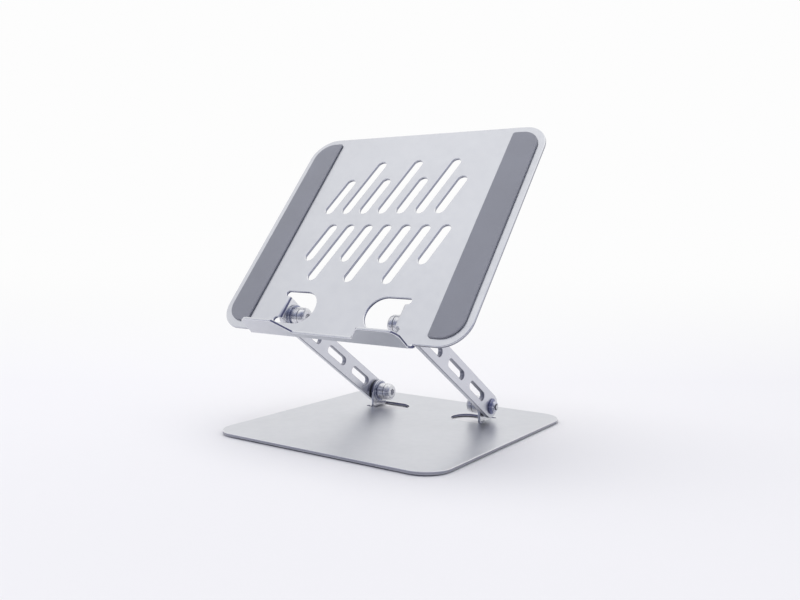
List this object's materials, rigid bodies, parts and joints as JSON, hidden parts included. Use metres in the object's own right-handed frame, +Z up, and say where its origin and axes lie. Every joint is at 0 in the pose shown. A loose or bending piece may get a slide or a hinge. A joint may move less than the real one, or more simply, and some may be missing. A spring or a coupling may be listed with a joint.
{
  "type": "laptop stand",
  "caption": "Folding desk laptop stand: a slotted tilting tray with lips and grip pads on slotted arms with friction hinges over a flat base plate.",
  "frame": {"origin": "middle of the footprint, on the surface that the foot strips stand on", "axes": "+X to the user's right along the hinge axes, +Y towards the back of the stand, +Z up"},
  "size_m": [0.26, 0.2321, 0.2713],
  "materials": {
    "silver_sheet": "fine satin anodised silver sheet with polished cut edges",
    "silver_bar": "satin anodised silver flat bar",
    "polished_steel": "turned and polished steel",
    "zinc_steel": "bright zinc-plated steel",
    "spring_steel": "oiled spring steel",
    "black_friction_plastic": "black filled plastic washer",
    "bronze": "sintered bronze",
    "pad_silicone": "matt grey silicone, fine grain",
    "foot_rubber": "matt dark grey rubber"
  },
  "bodies": {
    "base": {"base_plate": "silver_sheet", "foot_strip_front": "foot_rubber", "foot_strip_back": "foot_rubber", "foot_strip_left": "foot_rubber", "foot_strip_right": "foot_rubber", "base_bolt_left": "polished_steel", "base_bolt_right": "polished_steel", "base_spring_cup_left": "polished_steel", "base_spring_cup_right": "polished_steel", "base_disc_springs_left": "spring_steel", "base_disc_springs_right": "spring_steel", "base_thrust_washer_left": "polished_steel", "base_thrust_washer_right": "polished_steel", "base_friction_washer_left": "black_friction_plastic", "base_friction_washer_right": "black_friction_plastic", "base_nut_washer_left": "zinc_steel", "base_nut_washer_right": "zinc_steel", "base_lock_nut_left": "zinc_steel", "base_lock_nut_right": "zinc_steel"},
    "arms": {"arm_left": "silver_bar", "arm_right": "silver_bar", "base_bush_left": "bronze", "base_bush_right": "bronze", "tray_bush_left": "bronze", "tray_bush_right": "bronze"},
    "tray_hinges": {"tray_bolt_left": "polished_steel", "tray_bolt_right": "polished_steel", "tray_spring_cup_left": "polished_steel", "tray_spring_cup_right": "polished_steel", "tray_disc_springs_left": "spring_steel", "tray_disc_springs_right": "spring_steel", "tray_thrust_washer_left": "polished_steel", "tray_thrust_washer_right": "polished_steel", "tray_friction_washer_left": "black_friction_plastic", "tray_friction_washer_right": "black_friction_plastic", "tray_nut_washer_left": "zinc_steel", "tray_nut_washer_right": "zinc_steel", "tray_lock_nut_left": "zinc_steel", "tray_lock_nut_right": "zinc_steel"},
    "tray": {"tray_plate": "silver_sheet", "tray_pad_left": "pad_silicone", "tray_pad_right": "pad_silicone"}
  },
  "joints": [
    {"name": "arm_lift", "type": "hinge", "parent": "base", "child": "arms", "pos_m": [0, 0.059, 0.0173], "axis": [-1, 0, 0], "range_deg": [-34.7, 52]},
    {"name": "hinge_level", "type": "hinge", "parent": "arms", "child": "tray_hinges", "pos_m": [0, -0.0681, 0.10531], "axis": [-1, 0, 0], "range_deg": [-52, 34.7]},
    {"name": "tray_tilt", "type": "hinge", "parent": "tray_hinges", "child": "tray", "pos_m": [0, -0.0681, 0.10531], "axis": [1, 0, 0], "range_deg": [-50.2, 2.5]}
  ],
  "couplings": [
    {"joint": "hinge_level", "follows": "arm_lift", "ratio": -1}
  ]
}
